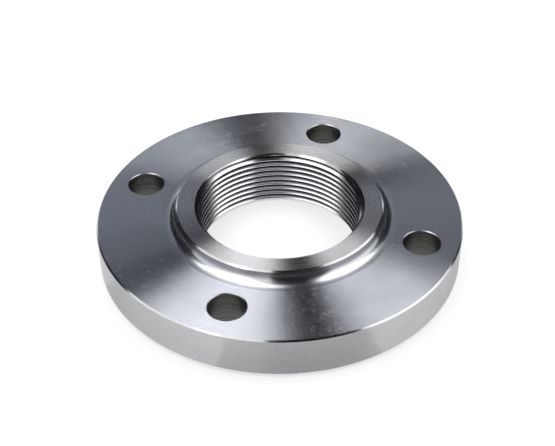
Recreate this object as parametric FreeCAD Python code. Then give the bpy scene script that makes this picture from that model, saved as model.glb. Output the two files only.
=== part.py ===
import FreeCAD, Part
import math
import os

# Threaded pipe flange, 3 inch pipe size, light pressure class.
# Millimetres, +Z up. The origin is the centre of the raised face, which the flange rests on,
# and the hub stands on the upper side, where the pipe is screwed in.

inch = 25.4

# Pipe and hub. Each ring outwards is placed from the one inside it.
pipe_outside_diameter = 3.5 * inch
hub_wall = 9.55             # metal between the pipe's outside and the hub's outside
bolt_offset = 22.2          # hub's outside to the bolt circle, room for a nut
edge_distance = 0.75 * inch # bolt circle to the rim
raised_face_width = 0.75 * inch

# Heights, from the raised face up. The hub stands on the rim's back: fillet, side, chamfer.
raised_face_height = 1.6
rim_thickness = 22.3
hub_fillet_radius = 5.0
hub_side_height = 0.5
hub_edge_chamfer = 0.8

# Bolt holes.
bolt_hole_count = 4
bolt_hole_diameter = 0.75 * inch
first_hole_angle = 45.0
bolt_hole_chamfer = 0.4

# Broken edges of the turned section.
rim_edge_chamfer = 0.8
raised_face_chamfer = 0.3
face_end_chamfer = 1.0

# Taper pipe thread, 8 threads to the inch, 60 degree form, widest at the hub's mouth.
threads_per_inch = 8
thread_taper = 1 / 16       # on the diameter, per unit of length
thread_angle = 60.0
hand_tight_engagement = 0.766 * inch
root_truncation = 0.033     # share of the pitch cut off the sharp thread at its root
crest_truncation = 0.078    # the same at its crest
thread_start_angle = -114.0 # where the groove runs out through the hub's mouth

# Worked out from the sizes above.
hub_radius = pipe_outside_diameter / 2 + hub_wall
bolt_circle_radius = hub_radius + bolt_offset
rim_radius = bolt_circle_radius + edge_distance
raised_face_radius = pipe_outside_diameter / 2 + raised_face_width

web_height = raised_face_height + rim_thickness
hub_height = web_height + hub_fillet_radius + hub_side_height + hub_edge_chamfer

thread_pitch = inch / threads_per_inch
wall_slope = thread_taper / 2
flank_slope = math.tan(math.radians(thread_angle / 2))
sharp_depth = thread_pitch / (2 * flank_slope)

# The pitch diameter at the pipe's small end, then at the mouth, one hand-tight engagement on.
pipe_end_pitch_diameter = (
    pipe_outside_diameter
    - (0.05 * pipe_outside_diameter + 1.1 * inch) * thread_pitch / inch
)
mouth_pitch_diameter = pipe_end_pitch_diameter + hand_tight_engagement * thread_taper

mouth_root_radius = mouth_pitch_diameter / 2 + sharp_depth / 2 - root_truncation * thread_pitch
mouth_crest_radius = mouth_pitch_diameter / 2 - sharp_depth / 2 + crest_truncation * thread_pitch

up = FreeCAD.Vector(0, 0, 1)
centre = FreeCAD.Vector(0, 0, 0)


def tapered_radius(mouth_radius, height):
    """Radius at a height of a cone that has mouth_radius at the hub's mouth."""
    return mouth_radius - wall_slope * (hub_height - height)


def softened_wire(corners):
    """Closed wire in the XZ plane through (radius, height, finish, size) corners.

    A corner is left sharp, cut by a chamfer of that leg, or rounded to that radius.
    """
    points = [FreeCAD.Vector(radius, 0, height) for radius, height, finish, size in corners]
    entries = []
    exits = []
    middles = []
    for index, (radius, height, finish, size) in enumerate(corners):
        corner = points[index]
        back = points[index - 1] - corner
        ahead = points[(index + 1) % len(points)] - corner
        half_angle = back.getAngle(ahead) / 2
        setback = size / math.tan(half_angle) if finish == "round" else size
        back_direction = back.normalize()
        ahead_direction = ahead.normalize()
        entries.append(corner + back_direction * setback)
        exits.append(corner + ahead_direction * setback)
        bisector = (back_direction + ahead_direction).normalize()
        middles.append(corner + bisector * (size / math.sin(half_angle) - size))

    edges = []
    for index, (radius, height, finish, size) in enumerate(corners):
        edges.append(Part.LineSegment(exits[index - 1], entries[index]).toShape())
        if finish == "round":
            edges.append(Part.Arc(entries[index], middles[index], exits[index]).toShape())
        if finish == "chamfer":
            edges.append(Part.LineSegment(entries[index], exits[index]).toShape())
    return Part.Wire(edges)


def turned_blank():
    """The forging as turned: rim, raised face, hub and tapered bore, before drilling."""
    bore_at_face = tapered_radius(mouth_crest_radius, 0)
    mouth_depth = (mouth_root_radius - mouth_crest_radius) / (1 - wall_slope)
    section = [
        (bore_at_face, 0, "chamfer", face_end_chamfer),
        (raised_face_radius, 0, "chamfer", raised_face_chamfer),
        (raised_face_radius, raised_face_height, "sharp", 0),
        (rim_radius, raised_face_height, "chamfer", rim_edge_chamfer),
        (rim_radius, web_height, "chamfer", rim_edge_chamfer),
        (hub_radius, web_height, "round", hub_fillet_radius),
        (hub_radius, hub_height, "chamfer", hub_edge_chamfer),
        (mouth_root_radius, hub_height, "sharp", 0),
        (mouth_root_radius - mouth_depth, hub_height - mouth_depth, "sharp", 0),
    ]
    return Part.Face(softened_wire(section)).revolve(centre, up, 360)


def bolt_hole(angle):
    """Tool for one through hole, flaring at both ends to break its edges."""
    hole_radius = bolt_hole_diameter / 2
    beyond = 1.0
    flare = bolt_hole_chamfer + beyond
    bottom = raised_face_height
    section = [
        FreeCAD.Vector(0, 0, bottom - beyond),
        FreeCAD.Vector(hole_radius + flare, 0, bottom - beyond),
        FreeCAD.Vector(hole_radius, 0, bottom + bolt_hole_chamfer),
        FreeCAD.Vector(hole_radius, 0, web_height - bolt_hole_chamfer),
        FreeCAD.Vector(hole_radius + flare, 0, web_height + beyond),
        FreeCAD.Vector(0, 0, web_height + beyond),
    ]
    tool = Part.Face(Part.makePolygon(section + section[:1])).revolve(centre, up, 360)
    tool.translate(FreeCAD.Vector(bolt_circle_radius, 0, 0))
    tool.rotate(centre, up, angle)
    return tool


def thread_groove():
    """Right-hand groove that leaves the thread standing, run out past both ends of the bore."""
    overcut = crest_truncation * thread_pitch / 2
    depth = mouth_root_radius - mouth_crest_radius + overcut
    root_half = root_truncation * thread_pitch * flank_slope
    mouth_half = root_half + depth * flank_slope

    turns_to_mouth = math.ceil(hub_height / thread_pitch) + 1
    start_height = hub_height - turns_to_mouth * thread_pitch
    start_radius = tapered_radius(mouth_root_radius, start_height)
    length = (turns_to_mouth + 2) * thread_pitch

    path = Part.makeLongHelix(
        thread_pitch, length, start_radius, math.degrees(math.atan(wall_slope))
    )
    path.translate(up * start_height)
    profile = Part.makePolygon([
        FreeCAD.Vector(start_radius, 0, start_height - root_half),
        FreeCAD.Vector(start_radius, 0, start_height + root_half),
        FreeCAD.Vector(start_radius - depth, 0, start_height + mouth_half),
        FreeCAD.Vector(start_radius - depth, 0, start_height - mouth_half),
        FreeCAD.Vector(start_radius, 0, start_height - root_half),
    ])
    sweep = Part.BRepOffsetAPI.MakePipeShell(Part.Wire(path.Edges))
    sweep.setBiNormalMode(up)
    sweep.add(profile, False, False)
    sweep.build()
    sweep.makeSolid()
    groove = sweep.shape()
    groove.rotate(centre, up, thread_start_angle)
    return groove


def flange():
    """The finished piece: blank, drilled and then threaded."""
    body = turned_blank()
    hole_step = 360 / bolt_hole_count
    for index in range(bolt_hole_count):
        body = body.cut(bolt_hole(first_hole_angle + index * hole_step))
    body = body.cut(thread_groove())
    return body.Solids[0]


os.makedirs("parts", exist_ok=True)
flange().exportStep("parts/flange.step")
print("flange outside diameter", round(2 * rim_radius, 3), "bolt circle", round(2 * bolt_circle_radius, 3))
print("hub diameter", round(2 * hub_radius, 3), "length through hub", round(hub_height, 3))
print("thread at the mouth: root diameter", round(2 * mouth_root_radius, 3),
      "crest diameter", round(2 * mouth_crest_radius, 3))
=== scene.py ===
import math

import bpy
from mathutils import Matrix, Quaternion, Vector


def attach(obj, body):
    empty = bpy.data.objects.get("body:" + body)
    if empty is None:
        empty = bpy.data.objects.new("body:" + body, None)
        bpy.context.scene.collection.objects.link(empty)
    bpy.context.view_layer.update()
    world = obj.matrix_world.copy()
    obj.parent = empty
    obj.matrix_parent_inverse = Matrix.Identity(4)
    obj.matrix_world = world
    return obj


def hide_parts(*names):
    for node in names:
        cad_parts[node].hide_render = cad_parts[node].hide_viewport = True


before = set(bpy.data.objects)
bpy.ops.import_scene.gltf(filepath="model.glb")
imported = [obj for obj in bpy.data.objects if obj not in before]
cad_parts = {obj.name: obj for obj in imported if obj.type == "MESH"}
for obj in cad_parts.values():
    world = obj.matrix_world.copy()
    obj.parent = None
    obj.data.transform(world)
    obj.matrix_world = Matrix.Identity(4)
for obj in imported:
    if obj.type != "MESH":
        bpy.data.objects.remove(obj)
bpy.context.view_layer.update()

mm = 0.001


# Small helpers for node trees of both kinds.

def addNode(tree, kind, **settings):
    made = tree.nodes.new(kind)
    for name, value in settings.items():
        setattr(made, name, value)
    return made


def feed(tree, socket, value):
    if isinstance(value, bpy.types.NodeSocket):
        tree.links.new(value, socket)
    else:
        socket.default_value = value


def calc(tree, operation, *values):
    made = addNode(tree, "ShaderNodeMath", operation=operation)
    for socket, value in zip(made.inputs, values):
        feed(tree, socket, value)
    return made.outputs[0]


def total(tree, *values):
    result = values[0]
    for value in values[1:]:
        result = calc(tree, "ADD", result, value)
    return result


def combine(tree, x, y, z):
    made = addNode(tree, "ShaderNodeCombineXYZ")
    for socket, value in zip(made.inputs, (x, y, z)):
        feed(tree, socket, value)
    return made.outputs[0]


# The camera stands where the photograph was taken from. Angles in degrees, offsets in pixels.

cameraSetup = {
    "aim": (0.0, 0.0, 1.6 * mm),
    "distance": 604.98 * mm,
    "azimuth": -115.64,
    "elevation": 40.124,
    "roll": -0.29,
    "lens": 73.26,
    "sensor": 36.0,
    "frameWidth": 555,
    "centreRight": 2.37,
    "centreDown": 21.84,
    "nearest": 0.01,
    "furthest": 20.0,
}


def outward(azimuth, elevation):
    a = math.radians(azimuth)
    e = math.radians(elevation)
    return Vector((math.cos(e) * math.cos(a), math.cos(e) * math.sin(a), math.sin(e)))


def makeCamera(setup):
    data = bpy.data.cameras.new("photoCamera")
    camera = bpy.data.objects.new("photoCamera", data)
    bpy.context.scene.collection.objects.link(camera)
    data.sensor_width = setup["sensor"]
    data.lens = setup["lens"]
    data.shift_x = -setup["centreRight"] / setup["frameWidth"]
    data.shift_y = setup["centreDown"] / setup["frameWidth"]
    data.clip_start = setup["nearest"]
    data.clip_end = setup["furthest"]
    back = outward(setup["azimuth"], setup["elevation"])
    right = Vector((0, 0, 1)).cross(back).normalized()
    up = back.cross(right)
    roll = math.radians(setup["roll"])
    rolledRight = right * math.cos(roll) + up * math.sin(roll)
    rolledUp = up * math.cos(roll) - right * math.sin(roll)
    turn = Matrix((rolledRight, rolledUp, back)).transposed().to_4x4()
    camera.matrix_world = Matrix.Translation(Vector(setup["aim"]) + back * setup["distance"]) @ turn
    bpy.context.scene.camera = camera


makeCamera(cameraSetup)
bpy.context.scene.view_settings.view_transform = "Standard"
print("camera placed")


# Studio: white surroundings, a pale floor, softboxes and dark cards that the metal reflects.
# Directions are turned so that the camera stands at minus ninety degrees.

studio = {
    "turn": cameraSetup["azimuth"] + 90,
    "white": 1.0,
    "ambient": 1.0,
    "floorRadius": 1.6,
    "floorSides": 96,
    "floorDrop": 0.05 * mm,     # below the face that the flange lies on
    "floorColour": (0.9, 0.9, 0.9, 1),
    "floorGlow": 0.5,           # share of plain white near the flange, where the shadow shows
    "shadowFrom": 0.13,         # from here out to shadowTo the floor turns plain white
    "shadowTo": 0.30,
    "shadeRadius": (95.4 * mm, 140 * mm),   # from the rim outwards
    "shadeHeight": 0.02 * mm,
    "cardDistance": 2.6,
    "cardSteps": 16,
    "softboxDistance": 2.0,
}

softboxes = [
    {"name": "softboxLeft", "azimuth": 176.5, "elevation": 68.5, "roll": -18.5,
     "size": (3.27, 1.10), "glow": 1.5},
    {"name": "softboxRight", "azimuth": 16.5, "elevation": 61, "roll": 5,
     "size": (2.26, 0.96), "glow": 1.6},
    {"name": "softboxSide", "azimuth": -18, "elevation": 24.5, "roll": 0,
     "size": (2.05, 1.18), "glow": 0.28},
]

# Each card is a patch of a dome over the flange, between two azimuths and two elevations.
blackCard = (0.010, 0.010, 0.012, 1)
dimCard = (0.26, 0.275, 0.32, 1)
paleCard = (0.82, 0.85, 0.92, 1)
cards = [
    {"name": "cardFarLeft", "azimuth": (118.5, 177.5), "elevation": (-6, 44), "colour": blackCard},
    {"name": "cardLeftTop", "azimuth": (141, 177.5), "elevation": (44, 51), "colour": blackCard},
    {"name": "cardBackLeft", "azimuth": (114.5, 118.5), "elevation": (-6, 44), "colour": paleCard},
    {"name": "cardBackDim", "azimuth": (94.5, 114.5), "elevation": (-6, 44), "colour": dimCard},
    {"name": "cardBackMiddle", "azimuth": (80.5, 94.5), "elevation": (-6, 44), "colour": blackCard},
    {"name": "cardBackPale", "azimuth": (73.5, 80.5), "elevation": (31.5, 44), "colour": paleCard},
    {"name": "cardBackLow", "azimuth": (73.5, 80.5), "elevation": (-6, 31.5), "colour": blackCard},
    {"name": "cardFarRight", "azimuth": (19.5, 73.5), "elevation": (-6, 44), "colour": blackCard},
    {"name": "cardBackTop", "azimuth": (67, 141), "elevation": (44, 52), "colour": blackCard},
    {"name": "cardSlot", "azimuth": (67.5, 90.5), "elevation": (52, 69), "colour": blackCard},
    {"name": "cardAbove", "azimuth": (-108.5, 82), "elevation": (69, 90), "colour": blackCard},
    {"name": "cardCamera", "azimuth": (-99, -41), "elevation": (-6, 69), "colour": blackCard},
]

# The floor close to the rim lies in the flange's own shade, which only the rim mirrors.
shades = [
    {"name": "shadeFarLeft", "azimuth": (-195, -162), "colour": (0.93, 0.93, 0.94, 1)},
    {"name": "shadeLeft", "azimuth": (-162, -109.5), "colour": (0.72, 0.72, 0.73, 1)},
    {"name": "shadeFront", "azimuth": (-109.5, -58), "colour": (0.52, 0.52, 0.52, 1)},
    {"name": "shadeRight", "azimuth": (-58, 15), "colour": (0.72, 0.72, 0.73, 1)},
]


def link(name, data):
    made = bpy.data.objects.new(name, data)
    bpy.context.scene.collection.objects.link(made)
    return made


def seenDirectly(tree):
    # One for rays from the camera, off metal or through glass, nought for those that light things.
    path = addNode(tree, "ShaderNodeLightPath")
    shown = calc(tree, "MAXIMUM", path.outputs["Is Camera Ray"], path.outputs["Is Glossy Ray"])
    return calc(tree, "MAXIMUM", shown, path.outputs["Is Transmission Ray"])


def makeWorld():
    world = bpy.data.worlds.new("whiteStudio")
    bpy.context.scene.world = world
    world.use_nodes = True
    tree = world.node_tree
    tree.nodes.clear()
    lighting = addNode(tree, "ShaderNodeBackground")
    lighting.inputs["Strength"].default_value = studio["ambient"]
    backdrop = addNode(tree, "ShaderNodeBackground")
    backdrop.inputs["Strength"].default_value = studio["white"]
    for background in (lighting, backdrop):
        background.inputs["Color"].default_value = (1, 1, 1, 1)
    mix = addNode(tree, "ShaderNodeMixShader")
    feed(tree, mix.inputs[0], seenDirectly(tree))
    feed(tree, mix.inputs[1], lighting.outputs[0])
    feed(tree, mix.inputs[2], backdrop.outputs[0])
    output = addNode(tree, "ShaderNodeOutputWorld")
    feed(tree, output.inputs[0], mix.outputs[0])


def makeFloorMaterial():
    material = bpy.data.materials.new("whiteFloor")
    material.use_nodes = True
    tree = material.node_tree
    tree.nodes.clear()
    place = addNode(tree, "ShaderNodeTexCoord").outputs["Object"]
    reach = addNode(tree, "ShaderNodeVectorMath", operation="LENGTH")
    feed(tree, reach.inputs[0], place)
    fade = addNode(tree, "ShaderNodeMapRange", interpolation_type="SMOOTHSTEP")
    feed(tree, fade.inputs["Value"], reach.outputs["Value"])
    fade.inputs["From Min"].default_value = studio["shadowFrom"]
    fade.inputs["From Max"].default_value = studio["shadowTo"]
    fade.inputs["To Min"].default_value = studio["floorGlow"]
    fade.inputs["To Max"].default_value = 1.0
    painted = addNode(tree, "ShaderNodeBsdfDiffuse")
    painted.inputs["Color"].default_value = studio["floorColour"]
    white = addNode(tree, "ShaderNodeEmission")
    white.inputs["Strength"].default_value = studio["white"]
    topside = addNode(tree, "ShaderNodeMixShader")
    feed(tree, topside.inputs[0], calc(tree, "MULTIPLY", seenDirectly(tree), fade.outputs[0]))
    feed(tree, topside.inputs[1], painted.outputs[0])
    feed(tree, topside.inputs[2], white.outputs[0])
    # Seen from below, the floor is clear.
    clear = addNode(tree, "ShaderNodeBsdfTransparent")
    bothSides = addNode(tree, "ShaderNodeMixShader")
    feed(tree, bothSides.inputs[0], addNode(tree, "ShaderNodeNewGeometry").outputs["Backfacing"])
    feed(tree, bothSides.inputs[1], topside.outputs[0])
    feed(tree, bothSides.inputs[2], clear.outputs[0])
    output = addNode(tree, "ShaderNodeOutputMaterial")
    feed(tree, output.inputs[0], bothSides.outputs[0])
    return material


def makeFloor():
    count = studio["floorSides"]
    rim = [outward(360 * step / count, 0) * studio["floorRadius"] for step in range(count)]
    mesh = bpy.data.meshes.new("floor")
    mesh.from_pydata(rim, [], [list(range(count))])
    mesh.materials.append(makeFloorMaterial())
    mesh.transform(Matrix.Translation((0, 0, -studio["floorDrop"])))
    link("floor", mesh)


def makeSoftbox(facts):
    data = bpy.data.lights.new(facts["name"], "AREA")
    data.shape = "ELLIPSE"
    data.size, data.size_y = facts["size"]
    data.energy = facts["glow"] * math.pi * facts["size"][0] * facts["size"][1]
    lamp = link(facts["name"], data)
    towards = outward(facts["azimuth"] + studio["turn"], facts["elevation"])
    lamp.location = towards * studio["softboxDistance"]
    roll = Quaternion((0, 0, 1), math.radians(facts["roll"]))
    lamp.rotation_euler = (towards.to_track_quat("Z", "Y") @ roll).to_euler()


def spread(limits, steps):
    low, high = limits
    return [low + (high - low) * step / steps for step in range(steps + 1)]


def patch(acrossRange, upRange, place):
    steps = studio["cardSteps"]
    points = [place(a, u) for u in spread(upRange, steps) for a in spread(acrossRange, steps)]
    wide = steps + 1
    faces = [(r * wide + c, r * wide + c + 1, (r + 1) * wide + c + 1, (r + 1) * wide + c)
             for r in range(steps) for c in range(steps)]
    return points, faces


def makeCard(name, shape, colour):
    mesh = bpy.data.meshes.new(name)
    mesh.from_pydata(shape[0], [], shape[1])
    material = bpy.data.materials.new(name)
    material.use_nodes = True
    tree = material.node_tree
    tree.nodes.clear()
    glow = addNode(tree, "ShaderNodeEmission")
    glow.inputs["Color"].default_value = colour
    output = addNode(tree, "ShaderNodeOutputMaterial")
    feed(tree, output.inputs[0], glow.outputs[0])
    mesh.materials.append(material)
    card = link(name, mesh)
    card.visible_camera = False
    card.visible_diffuse = False
    card.visible_shadow = False


def onDome(azimuth, elevation):
    return outward(azimuth + studio["turn"], elevation) * studio["cardDistance"]


def onFloor(azimuth, radius):
    flat = outward(azimuth + studio["turn"], 0) * radius
    return flat + Vector((0, 0, studio["shadeHeight"]))


makeWorld()
makeFloor()
for facts in softboxes:
    makeSoftbox(facts)
for facts in cards:
    shape = patch(facts["azimuth"], facts["elevation"], onDome)
    makeCard(facts["name"], shape, facts["colour"])
for facts in shades:
    shape = patch(facts["azimuth"], studio["shadeRadius"], onFloor)
    makeCard(facts["name"], shape, facts["colour"])
print("studio built:", len(softboxes), "softboxes,", len(cards), "cards,", len(shades), "shades")


# Steel finishes. What they share comes first; a finish may hold its own value for any of it.

wallSlope = 1 / 32   # the taper thread's wall

anyFinish = {
    "mottle": 0.06,           # how far the colour strays in smudges
    "smudgeScale": 55.0,
    "smudgeDetail": 4.0,
    "radiusShare": 1.0,       # distance along the cut section, which the tool's lines lie across
    "heightShare": -0.7,
    "lineDetail": 3.0,
    "lineDrift": 9.0,         # how soon a line changes on its way round
    "glossTurn": 0.25,        # a quarter turn spreads the gloss across the lines
    "dentScale": 650.0,
    "dentDetail": 1.0,
    "dentRange": (0.24, 0.30),
}

turnedFinish = {
    "colour": (0.615, 0.635, 0.685, 1),
    "roughness": 0.26,
    "uneven": 0.05,
    "anisotropic": 1.0,
    "lineSpacing": 0.35 * mm,
    "lineDepth": 0.03 * mm,
    "dents": 0.02 * mm,         # how deep they are
}

faceFinish = {
    "colour": (0.635, 0.64, 0.655, 1),
    "roughness": 0.28,
    "uneven": 0.06,
    "anisotropic": 1.0,
    "lineSpacing": 0.3 * mm,
    "lineDepth": 0.015 * mm,
}

shinyFinish = {
    "colour": (0.75, 0.757, 0.775, 1),
    "roughness": 0.16,
    "uneven": 0.03,
    "anisotropic": 0.5,
    "lineSpacing": 0.3 * mm,
    "lineDepth": 0.004 * mm,
}

threadFinish = {
    "colour": (0.56, 0.57, 0.59, 1),
    "roughness": 0.18,
    "uneven": 0.05,
    "anisotropic": 0.6,
    "lineSpacing": 0.22 * mm,
    "lineDepth": 0.003 * mm,
    "crestAtFace": 40.963 * mm,          # the crest's radius at the face end
    "mouthChamferAtFace": 13.5 * mm,     # the mouth's chamfer, carried on down to the face
    # Painted shade in the grooves: the colour darkens between the next two depths below the crest,
    # down to the share darkShade.
    "shadeFromDepth": 0.5 * mm,              # below the crest
    "darkDepth": 1.9 * mm,
    "darkShade": 0.05,
}

drilledFinish = {
    "colour": (0.18, 0.18, 0.172, 1),
    "mottle": 0.5,
    "roughness": 0.33,
    "uneven": 0.35,
    "anisotropic": 0.0,
    "lineSpacing": 0.7 * mm,
    "lineDepth": 0.35 * mm,
    "radiusShare": 0.0,
    "heightShare": 1.0,
}

hubFinish = {
    "colour": (0.605, 0.62, 0.66, 1),
    "roughness": 0.23,
    "uneven": 0.03,
    "anisotropic": 0.95,
    "lineSpacing": 0.3 * mm,
    "lineDepth": 0.01 * mm,
    # Painted shade up the hub's side: the colour darkens between the next two heights, down to the
    # share on the third line.
    "unshadedBelow": 25.2 * mm,    # heights over the ground
    "fullShadeFrom": 27.0 * mm,
    "hubPaintedShade": 0.5,
}

edgeFinish = {
    "colour": (0.52, 0.52, 0.53, 1),
    "roughness": 0.30,
    "uneven": 0.05,
    "anisotropic": 0.0,
    "lineSpacing": 0.3 * mm,
    "lineDepth": 0.003 * mm,
}

gasketFinish = {
    "colour": (0.56, 0.57, 0.59, 1),
    "roughness": 0.40,
    "uneven": 0.05,
    "anisotropic": 0.9,
    "lineSpacing": 0.3 * mm,
    "lineDepth": 0.003 * mm,
}


def shaded(tree, colour, measure, span, shade):
    fade = addNode(tree, "ShaderNodeMapRange", interpolation_type="SMOOTHSTEP")
    feed(tree, fade.inputs["Value"], measure)
    fade.inputs["From Min"].default_value = span[0]
    fade.inputs["From Max"].default_value = span[1]
    fade.inputs["To Min"].default_value = 1.0
    fade.inputs["To Max"].default_value = shade
    scaled = addNode(tree, "ShaderNodeVectorMath", operation="SCALE")
    feed(tree, scaled.inputs[0], colour)
    feed(tree, scaled.inputs["Scale"], fade.outputs[0])
    return scaled.outputs[0]


def makeSteel(name, ownFinish):
    finish = {**anyFinish, **ownFinish}
    material = bpy.data.materials.new(name)
    material.use_nodes = True
    tree = material.node_tree
    steel = tree.nodes["Principled BSDF"]
    steel.inputs["Metallic"].default_value = 1.0
    steel.inputs["Anisotropic"].default_value = finish["anisotropic"]
    steel.inputs["Anisotropic Rotation"].default_value = finish["glossTurn"]
    place = addNode(tree, "ShaderNodeTexCoord").outputs["Object"]
    axes = addNode(tree, "ShaderNodeSeparateXYZ")
    feed(tree, axes.inputs[0], place)
    x, y, z = axes.outputs
    square = total(tree, calc(tree, "MULTIPLY", x, x), calc(tree, "MULTIPLY", y, y))
    radius = calc(tree, "SQRT", square)
    section = total(
        tree,
        calc(tree, "MULTIPLY", radius, finish["radiusShare"]),
        calc(tree, "MULTIPLY", z, finish["heightShare"]),
    )
    lines = addNode(tree, "ShaderNodeTexNoise")
    lines.inputs["Scale"].default_value = 1.0
    lines.inputs["Detail"].default_value = finish["lineDetail"]
    feed(tree, lines.inputs["Vector"], combine(
        tree,
        calc(tree, "MULTIPLY", section, 1 / finish["lineSpacing"]),
        calc(tree, "MULTIPLY", x, finish["lineDrift"]),
        calc(tree, "MULTIPLY", y, finish["lineDrift"]),
    ))
    smudge = addNode(tree, "ShaderNodeTexNoise")
    smudge.inputs["Scale"].default_value = finish["smudgeScale"]
    smudge.inputs["Detail"].default_value = finish["smudgeDetail"]
    feed(tree, smudge.inputs["Vector"], place)
    # Roughness: the finish's own, plus lines and smudges around it.
    strays = [
        calc(tree, "MULTIPLY", calc(tree, "SUBTRACT", noise.outputs["Fac"], 0.5), finish["uneven"])
        for noise in (lines, smudge)
    ]
    feed(tree, steel.inputs["Roughness"], total(tree, *strays, finish["roughness"]))
    tint = addNode(tree, "ShaderNodeMix", data_type="RGBA")
    feed(tree, tint.inputs[0], smudge.outputs["Fac"])
    # Sockets 6 and 7 take the two colours that it mixes.
    for socket, strength in ((6, 1 - finish["mottle"]), (7, 1 + finish["mottle"])):
        tint.inputs[socket].default_value = [strength * part for part in finish["colour"][:3]] + [1]
    colour = tint.outputs[2]
    if "darkShade" in finish:
        # Painted shade: the thread's colour darkens from the crest down into the root, where the
        # grooves lie in shade.
        crest = total(tree, calc(tree, "MULTIPLY", z, wallSlope), finish["crestAtFace"])
        crest = calc(tree, "MAXIMUM", crest, total(tree, z, finish["mouthChamferAtFace"]))
        depth = calc(tree, "SUBTRACT", radius, crest)
        span = (finish["shadeFromDepth"], finish["darkDepth"])
        colour = shaded(tree, colour, depth, span, finish["darkShade"])
    if "hubPaintedShade" in finish:
        # Painted shade: the colour darkens up the hub's side, above the fillet's foot.
        span = (finish["unshadedBelow"], finish["fullShadeFrom"])
        colour = shaded(tree, colour, z, span, finish["hubPaintedShade"])
    feed(tree, steel.inputs["Base Color"], colour)
    # The tool's lines stand out a little.
    bump = addNode(tree, "ShaderNodeBump")
    bump.inputs["Distance"].default_value = finish["lineDepth"]
    feed(tree, bump.inputs["Height"], lines.outputs["Fac"])
    if "dents" in finish:
        # A few small dents from handling, where the noise dips lowest.
        spots = addNode(tree, "ShaderNodeTexNoise")
        spots.inputs["Scale"].default_value = finish["dentScale"]
        spots.inputs["Detail"].default_value = finish["dentDetail"]
        feed(tree, spots.inputs["Vector"], place)
        dip = addNode(tree, "ShaderNodeMapRange", interpolation_type="SMOOTHSTEP")
        feed(tree, dip.inputs["Value"], spots.outputs["Fac"])
        dip.inputs["From Min"].default_value = finish["dentRange"][0]
        dip.inputs["From Max"].default_value = finish["dentRange"][1]
        dented = addNode(tree, "ShaderNodeBump")
        dented.inputs["Distance"].default_value = finish["dents"]
        feed(tree, dented.inputs["Height"], dip.outputs[0])
        feed(tree, bump.inputs["Normal"], dented.outputs[0])
    feed(tree, steel.inputs["Normal"], bump.outputs[0])
    around = addNode(tree, "ShaderNodeTangent", direction_type="RADIAL", axis="Z")
    feed(tree, steel.inputs["Tangent"], around.outputs[0])
    return material


steels = {
    "turned": makeSteel("turnedSteel", turnedFinish),
    "thread": makeSteel("threadSteel", threadFinish),
    "drilled": makeSteel("drilledSteel", drilledFinish),
    "gasket": makeSteel("gasketSteel", gasketFinish),
    "shiny": makeSteel("shinySteel", shinyFinish),
    "hub": makeSteel("hubSteel", hubFinish),
    "edge": makeSteel("edgeSteel", edgeFinish),
    "face": makeSteel("faceSteel", faceFinish),
}
print("steel finishes made")


# The flange, one closed skin. Millimetres here, metres inside the tree.

flangeSizes = {
    "rimRadius": 95.25,
    "rimChamfer": 0.8,
    "faceRadius": 63.5,
    "faceHeight": 1.6,
    "faceChamfer": 0.3,
    "webHeight": 23.9,
    "hubRadius": 54.0,
    "hubHeight": 30.2,
    "hubChamfer": 0.8,
    "filletRadius": 5.0,
    "reliefWidth": 2.1,         # the shallow ring outside the fillet's foot
    "reliefDepth": 0.017,
    "holeRadius": 9.525,
    "holeCircle": 76.2,
    "holeChamfer": 0.4,
    "pitch": 3.175,
    "mouthRoot": 44.304,
    "mouthCrest": 41.907,
    "rootHalf": 0.0605,         # half the width of the flat at the groove's root
    "crestHalf": 0.143,
    "boreChamfer": 1.0,
    "spiralPitch": 0.8,         # the raised face's finish
    "spiralDepth": 0.045,
    "spiralFade": 1.2,
    "seamReach": 0.0015,        # points nearer than this are sewn together
}

# Angles in degrees, and counts.
flangeTurns = {
    "threadStart": -114.0,      # where the thread runs out at the mouth
    "firstHole": 45.0,
    "holeCount": 4,
    "columns": 360,             # faces round the flange, and round a hole
    "holeColumns": 72,
}

flankSlope = math.tan(math.radians(30))   # half the angle between the thread's flanks
flankRows = 6                   # rows of faces up each flank of the thread
spiralRows = 3                  # rows of faces to each turn of the spiral finish
filletRows = 8
reliefRows = 6
sharpAngle = math.radians(24)   # an edge that turns more than this is shaded sharp

finishNumbers = {name: number for number, name in enumerate(steels)}


def makeTree(name, sizes, turns):
    tree = bpy.data.node_groups.new(name, "GeometryNodeTree")
    tree.interface.new_socket("Geometry", in_out="OUTPUT", socket_type="NodeSocketGeometry")
    for label, value in {**sizes, **turns}.items():
        kind = "NodeSocketInt" if isinstance(value, int) else "NodeSocketFloat"
        tree.interface.new_socket(label, in_out="INPUT", socket_type=kind)
    return tree


def pick(tree, which, values):
    # One value for each row.
    chooser = addNode(tree, "GeometryNodeIndexSwitch", data_type="FLOAT")
    while len(chooser.index_switch_items) < len(values):
        chooser.index_switch_items.new()
    feed(tree, chooser.inputs[0], which)
    for socket, value in zip(chooser.inputs[1:], values):
        feed(tree, socket, value)
    return chooser.outputs[0]


def wholePart(tree, value, divisor):
    # Half a step is added, so that rounding never drops a whole number by one.
    return calc(tree, "FLOOR", calc(tree, "DIVIDE", total(tree, value, 0.5), divisor))


def gridOf(tree, columns, rows):
    # A flat sheet, each point's row in it and its share of the way round.
    grid = addNode(tree, "GeometryNodeMeshGrid")
    feed(tree, grid.inputs["Vertices X"], calc(tree, "ADD", columns, 1))
    feed(tree, grid.inputs["Vertices Y"], rows)
    index = addNode(tree, "GeometryNodeInputIndex").outputs[0]
    row = calc(tree, "FLOORED_MODULO", index, rows)
    share = calc(tree, "DIVIDE", wholePart(tree, index, rows), columns)
    return grid.outputs[0], row, share


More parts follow.
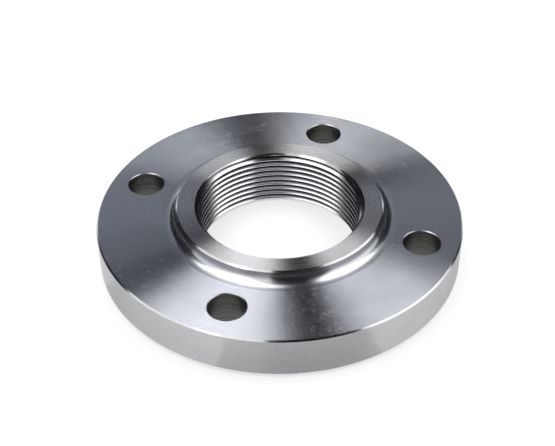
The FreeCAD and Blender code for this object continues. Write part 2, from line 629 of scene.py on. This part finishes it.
def wrap(tree, geometry, share, radius, height):
    # Bends the sheet round the axis.
    angle = calc(tree, "MULTIPLY", share, 2 * math.pi)
    place = combine(
        tree,
        calc(tree, "MULTIPLY", radius, calc(tree, "COSINE", angle)),
        calc(tree, "MULTIPLY", radius, calc(tree, "SINE", angle)),
        height,
    )
    moved = addNode(tree, "GeometryNodeSetPosition")
    feed(tree, moved.inputs["Geometry"], geometry)
    feed(tree, moved.inputs["Position"], place)
    return flip(tree, moved.outputs[0])


def lathe(tree, columns, section):
    grid, row, share = gridOf(tree, columns, len(section))
    radius = pick(tree, row, [point[0] for point in section])
    height = pick(tree, row, [point[1] for point in section])
    return wrap(tree, grid, share, radius, height)


def flip(tree, geometry):
    made = addNode(tree, "GeometryNodeFlipFaces")
    feed(tree, made.inputs[0], geometry)
    return made.outputs[0]


def join(tree, *parts):
    made = addNode(tree, "GeometryNodeJoinGeometry")
    for part in parts:
        tree.links.new(part, made.inputs[0])
    return made.outputs[0]


def tagged(tree, geometry, finish):
    made = addNode(tree, "GeometryNodeStoreNamedAttribute", data_type="INT", domain="FACE")
    feed(tree, made.inputs["Geometry"], geometry)
    made.inputs["Name"].default_value = "finish"
    made.inputs["Value"].default_value = finishNumbers[finish]
    return made.outputs[0]


def shadeSmooth(tree, geometry, smooth):
    made = addNode(tree, "GeometryNodeSetShadeSmooth", domain="FACE")
    feed(tree, made.inputs["Geometry"], geometry)
    made.inputs["Shade Smooth"].default_value = smooth
    return made.outputs[0]


def boreRadius(tree, size, height, share):
    # The largest of the thread's crest, its groove and the chamfers at the mouth and the face.
    below = calc(tree, "SUBTRACT", size["hubHeight"], height)
    narrowing = calc(tree, "MULTIPLY", below, wallSlope)
    crest = calc(tree, "SUBTRACT", size["mouthCrest"], narrowing)
    root = calc(tree, "SUBTRACT", size["mouthRoot"], narrowing)
    turns = total(tree, calc(tree, "DIVIDE", below, size["pitch"]), share)
    aside = calc(tree, "ABSOLUTE", calc(tree, "SUBTRACT", turns, calc(tree, "ROUND", turns)))
    aside = calc(tree, "SUBTRACT", calc(tree, "MULTIPLY", aside, size["pitch"]), size["rootHalf"])
    rise = calc(tree, "DIVIDE", calc(tree, "MAXIMUM", aside, 0.0), flankSlope)
    groove = calc(tree, "SUBTRACT", root, rise)
    mouth = calc(tree, "SUBTRACT", size["mouthRoot"], below)
    taper = calc(tree, "MULTIPLY", size["hubHeight"], wallSlope)
    atFace = calc(tree, "SUBTRACT", size["mouthCrest"], taper)
    ending = calc(tree, "SUBTRACT", total(tree, atFace, size["boreChamfer"]), height)
    thread = calc(tree, "MAXIMUM", crest, groove)
    return calc(tree, "MAXIMUM", thread, calc(tree, "MAXIMUM", mouth, ending))


def threadedBore(tree, size):
    # The rows climb with the helix, so that every crest and root has a row of its own.
    perTurn = 2 * flankRows + 2
    wholeTurns = calc(tree, "CEIL", calc(tree, "DIVIDE", size["hubHeight"], size["pitch"]))
    turns = total(tree, wholeTurns, 1)
    rows = total(tree, calc(tree, "MULTIPLY", turns, perTurn), 1)
    grid, row, share = gridOf(tree, size["columns"], rows)
    rootShare = calc(tree, "DIVIDE", size["rootHalf"], size["pitch"])
    crestShare = calc(tree, "SUBTRACT", 0.5, calc(tree, "DIVIDE", size["crestHalf"], size["pitch"]))
    flank = calc(tree, "SUBTRACT", crestShare, rootShare)
    climb = [total(tree, rootShare, calc(tree, "MULTIPLY", flank, step / flankRows))
             for step in range(flankRows + 1)]
    descend = [calc(tree, "SUBTRACT", 1.0, value) for value in reversed(climb)]
    along = pick(tree, calc(tree, "FLOORED_MODULO", row, perTurn), climb + descend)
    climbed = total(tree, wholePart(tree, row, perTurn), along, share)
    rising = calc(tree, "SUBTRACT", climbed, turns)
    height = total(tree, size["hubHeight"], calc(tree, "MULTIPLY", rising, size["pitch"]))
    height = calc(tree, "MINIMUM", calc(tree, "MAXIMUM", height, 0.0), size["hubHeight"])
    return wrap(tree, grid, share, boreRadius(tree, size, height, share), height)


def gasketFace(tree, size):
    # One spiral groove from the rim of the raised face in to the bore, shallow at both ends.
    outer = calc(tree, "SUBTRACT", size["faceRadius"], size["faceChamfer"])
    width = calc(tree, "SUBTRACT", outer, size["mouthCrest"])
    turns = total(tree, calc(tree, "CEIL", calc(tree, "DIVIDE", width, size["spiralPitch"])), 2)
    rows = total(tree, calc(tree, "MULTIPLY", turns, spiralRows), 1)
    grid, row, share = gridOf(tree, size["columns"], rows)
    inner = boreRadius(tree, size, 0.0, share)
    winding = total(tree, calc(tree, "DIVIDE", row, spiralRows), share)
    winding = calc(tree, "SUBTRACT", winding, turns)
    radius = total(tree, outer, calc(tree, "MULTIPLY", winding, size["spiralPitch"]))
    radius = calc(tree, "MINIMUM", calc(tree, "MAXIMUM", radius, inner), outer)
    turnsIn = calc(tree, "DIVIDE", calc(tree, "SUBTRACT", radius, outer), size["spiralPitch"])
    turnsIn = calc(tree, "SUBTRACT", turnsIn, share)
    across = calc(tree, "SUBTRACT", calc(tree, "MULTIPLY", calc(tree, "FRACT", turnsIn), 2.0), 1.0)
    scallop = calc(tree, "SUBTRACT", 1.0, calc(tree, "MULTIPLY", across, across))
    nearInner = calc(tree, "DIVIDE", calc(tree, "SUBTRACT", radius, inner), size["spiralFade"])
    nearOuter = calc(tree, "DIVIDE", calc(tree, "SUBTRACT", outer, radius), size["spiralFade"])
    ending = calc(tree, "MINIMUM", calc(tree, "MINIMUM", nearInner, nearOuter), 1.0)
    height = calc(tree, "MULTIPLY", calc(tree, "MULTIPLY", scallop, ending), size["spiralDepth"])
    return wrap(tree, grid, share, radius, height)


def filletSection(tree, size):
    # From the hub's side down the fillet, through the shallow ring the tool leaves, to the web.
    section = []
    filletEnd = total(tree, size["hubRadius"], size["filletRadius"])
    for step in range(filletRows + 1):
        lean = math.pi / 2 * (1 - step / filletRows)
        inward = calc(tree, "MULTIPLY", size["filletRadius"], math.sin(lean))
        rise = calc(tree, "MULTIPLY", size["filletRadius"], 1 - math.cos(lean))
        section.append((
            calc(tree, "SUBTRACT", filletEnd, inward),
            total(tree, size["webHeight"], rise),
        ))
    for step in range(1, reliefRows + 1):
        share = step / reliefRows
        dip = calc(tree, "MULTIPLY", size["reliefDepth"], math.sin(math.pi * share) ** 2)
        section.append((
            total(tree, filletEnd, calc(tree, "MULTIPLY", size["reliefWidth"], share)),
            calc(tree, "SUBTRACT", size["webHeight"], dip),
        ))
    return section


def circlePoints(tree, count, radius):
    ring = addNode(tree, "GeometryNodeMeshCircle", fill_type="NONE")
    feed(tree, ring.inputs["Vertices"], count)
    feed(tree, ring.inputs["Radius"], radius)
    return ring.outputs[0]


def aroundBolts(tree, size, instance):
    # Counted from the thread's start, because the whole flange is turned to it at the end.
    spots = circlePoints(tree, size["holeCount"], size["holeCircle"])
    turned = addNode(tree, "GeometryNodeTransform")
    feed(tree, turned.inputs["Geometry"], spots)
    lead = calc(tree, "RADIANS", calc(tree, "SUBTRACT", size["firstHole"], size["threadStart"]))
    feed(tree, turned.inputs["Rotation"], combine(tree, 0.0, 0.0, lead))
    placed = addNode(tree, "GeometryNodeInstanceOnPoints")
    feed(tree, placed.inputs["Points"], turned.outputs[0])
    feed(tree, placed.inputs["Instance"], instance)
    return placed.outputs[0]


def circleCurve(tree, count, radius):
    curve = addNode(tree, "GeometryNodeCurvePrimitiveCircle", mode="RADIUS")
    feed(tree, curve.inputs["Resolution"], count)
    feed(tree, curve.inputs["Radius"], radius)
    return curve.outputs[0]


def drilledPlate(tree, size, inner, outer, height):
    # A flat ring with the bolt holes' openings left out.
    mouth = total(tree, size["holeRadius"], size["holeChamfer"])
    opening = circleCurve(tree, size["holeColumns"], mouth)
    holes = addNode(tree, "GeometryNodeRealizeInstances")
    feed(tree, holes.inputs[0], aroundBolts(tree, size, opening))
    outlines = join(
        tree,
        circleCurve(tree, size["columns"], outer),
        circleCurve(tree, size["columns"], inner),
        holes.outputs[0],
    )
    filled = addNode(tree, "GeometryNodeFillCurve", mode="TRIANGLES")
    feed(tree, filled.inputs[0], outlines)
    raised = addNode(tree, "GeometryNodeTransform")
    feed(tree, raised.inputs["Geometry"], filled.outputs[0])
    feed(tree, raised.inputs["Translation"], combine(tree, 0.0, 0.0, height))
    return raised.outputs[0]


def buildFlangeTree(sizes, turns):
    tree = makeTree("turnedFlange", sizes, turns)
    inputs = addNode(tree, "NodeGroupInput").outputs
    size = {socket.name: socket for socket in inputs if socket.name}
    columns = size["columns"]

    rimInner = calc(tree, "SUBTRACT", size["rimRadius"], size["rimChamfer"])
    faceInner = calc(tree, "SUBTRACT", size["faceRadius"], size["faceChamfer"])
    webInner = total(tree, size["hubRadius"], size["filletRadius"], size["reliefWidth"])
    faceEdge = (size["faceRadius"], size["faceChamfer"])
    faceStep = lathe(tree, columns, [(size["faceRadius"], size["faceHeight"]), faceEdge])
    faceBreak = lathe(tree, columns, [faceEdge, (faceInner, 0.0)])
    rimTop = (size["rimRadius"], calc(tree, "SUBTRACT", size["webHeight"], size["rimChamfer"]))
    rimFoot = (size["rimRadius"], total(tree, size["faceHeight"], size["rimChamfer"]))
    rimSide = lathe(tree, columns, [rimTop, rimFoot])
    rimBreaks = join(
        tree,
        lathe(tree, columns, [(rimInner, size["webHeight"]), rimTop]),
        lathe(tree, columns, [rimFoot, (rimInner, size["faceHeight"])]),
    )
    hubSide = (size["hubRadius"], calc(tree, "SUBTRACT", size["hubHeight"], size["hubChamfer"]))
    hubEdge = (calc(tree, "SUBTRACT", size["hubRadius"], size["hubChamfer"]), size["hubHeight"])
    hubFace = lathe(tree, columns, [(size["mouthRoot"], size["hubHeight"]), hubEdge])
    hubFillet = lathe(tree, columns, filletSection(tree, size))
    filletTop = (size["hubRadius"], total(tree, size["webHeight"], size["filletRadius"]))
    hubBreak = lathe(tree, columns, [hubEdge, hubSide])
    hubWall = lathe(tree, columns, [hubSide, filletTop])
    web = drilledPlate(tree, size, webInner, rimInner, size["webHeight"])
    back = flip(tree, drilledPlate(tree, size, size["faceRadius"], rimInner, size["faceHeight"]))

    mouth = total(tree, size["holeRadius"], size["holeChamfer"])
    holeFoot = (size["holeRadius"], total(tree, size["faceHeight"], size["holeChamfer"]))
    holeTop = (size["holeRadius"], calc(tree, "SUBTRACT", size["webHeight"], size["holeChamfer"]))
    holeWalls = aroundBolts(tree, size, lathe(tree, size["holeColumns"], [holeFoot, holeTop]))
    holeBreaks = aroundBolts(tree, size, join(
        tree,
        lathe(tree, size["holeColumns"], [(mouth, size["faceHeight"]), holeFoot]),
        lathe(tree, size["holeColumns"], [holeTop, (mouth, size["webHeight"])]),
    ))

    skin = join(
        tree,
        tagged(tree, shadeSmooth(tree, join(tree, faceStep, rimSide, hubFace), True), "face"),
        tagged(tree, shadeSmooth(tree, join(tree, hubWall, hubFillet), True), "hub"),
        tagged(tree, shadeSmooth(tree, join(tree, faceBreak, rimBreaks, hubBreak), True), "shiny"),
        tagged(tree, shadeSmooth(tree, holeBreaks, True), "edge"),
        tagged(tree, shadeSmooth(tree, join(tree, web, back), False), "turned"),
        tagged(tree, shadeSmooth(tree, threadedBore(tree, size), True), "thread"),
        tagged(tree, shadeSmooth(tree, flip(tree, gasketFace(tree, size)), True), "gasket"),
        tagged(tree, shadeSmooth(tree, holeWalls, True), "drilled"),
    )
    whole = addNode(tree, "GeometryNodeRealizeInstances")
    feed(tree, whole.inputs[0], skin)
    sewn = addNode(tree, "GeometryNodeMergeByDistance")
    feed(tree, sewn.inputs["Geometry"], whole.outputs[0])
    feed(tree, sewn.inputs["Distance"], size["seamReach"])
    creased = addNode(tree, "GeometryNodeSetShadeSmooth", domain="EDGE")
    feed(tree, creased.inputs["Geometry"], sewn.outputs[0])
    angle = addNode(tree, "GeometryNodeInputMeshEdgeAngle").outputs["Unsigned Angle"]
    feed(tree, creased.inputs["Selection"], calc(tree, "GREATER_THAN", angle, sharpAngle))
    creased.inputs["Shade Smooth"].default_value = False
    turned = addNode(tree, "GeometryNodeTransform")
    feed(tree, turned.inputs["Geometry"], creased.outputs[0])
    lead = calc(tree, "RADIANS", size["threadStart"])
    feed(tree, turned.inputs["Rotation"], combine(tree, 0.0, 0.0, lead))
    last = addNode(tree, "GeometryNodeRealizeInstances")
    feed(tree, last.inputs[0], turned.outputs[0])
    dressed = last.outputs[0]
    finish = addNode(tree, "GeometryNodeInputNamedAttribute", data_type="INT")
    finish.inputs["Name"].default_value = "finish"
    for name, steel in steels.items():
        painted = addNode(tree, "GeometryNodeSetMaterial")
        feed(tree, painted.inputs["Geometry"], dressed)
        painted.inputs["Material"].default_value = steel
        if name != "turned":
            feed(tree, painted.inputs["Selection"],
                 calc(tree, "COMPARE", finish.outputs["Attribute"], finishNumbers[name], 0.1))
        dressed = painted.outputs[0]
    output = addNode(tree, "NodeGroupOutput")
    feed(tree, output.inputs[0], dressed)
    return tree


def makeFlange():
    tree = buildFlangeTree(flangeSizes, flangeTurns)
    seed = bpy.data.meshes.new("flangeSeed")
    flange = link("threadedFlange", seed)
    modifier = flange.modifiers.new("turnedFlange", "NODES")
    modifier.node_group = tree
    for socket in tree.interface.items_tree:
        if socket.item_type == "SOCKET" and socket.in_out == "INPUT":
            if socket.name in flangeSizes:
                modifier[socket.identifier] = flangeSizes[socket.name] * mm
            else:
                modifier[socket.identifier] = flangeTurns[socket.name]
    bpy.context.view_layer.update()
    evaluated = flange.evaluated_get(bpy.context.evaluated_depsgraph_get())
    mesh = bpy.data.meshes.new_from_object(evaluated)
    mesh.name = "threadedFlange"
    while None in list(mesh.materials):
        mesh.materials.pop(index=list(mesh.materials).index(None))
    flange.modifiers.remove(modifier)
    flange.data = mesh
    return flange


flange = makeFlange()
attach(flange, "root")
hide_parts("flange")
print("flange made:", len(flange.data.polygons), "faces")
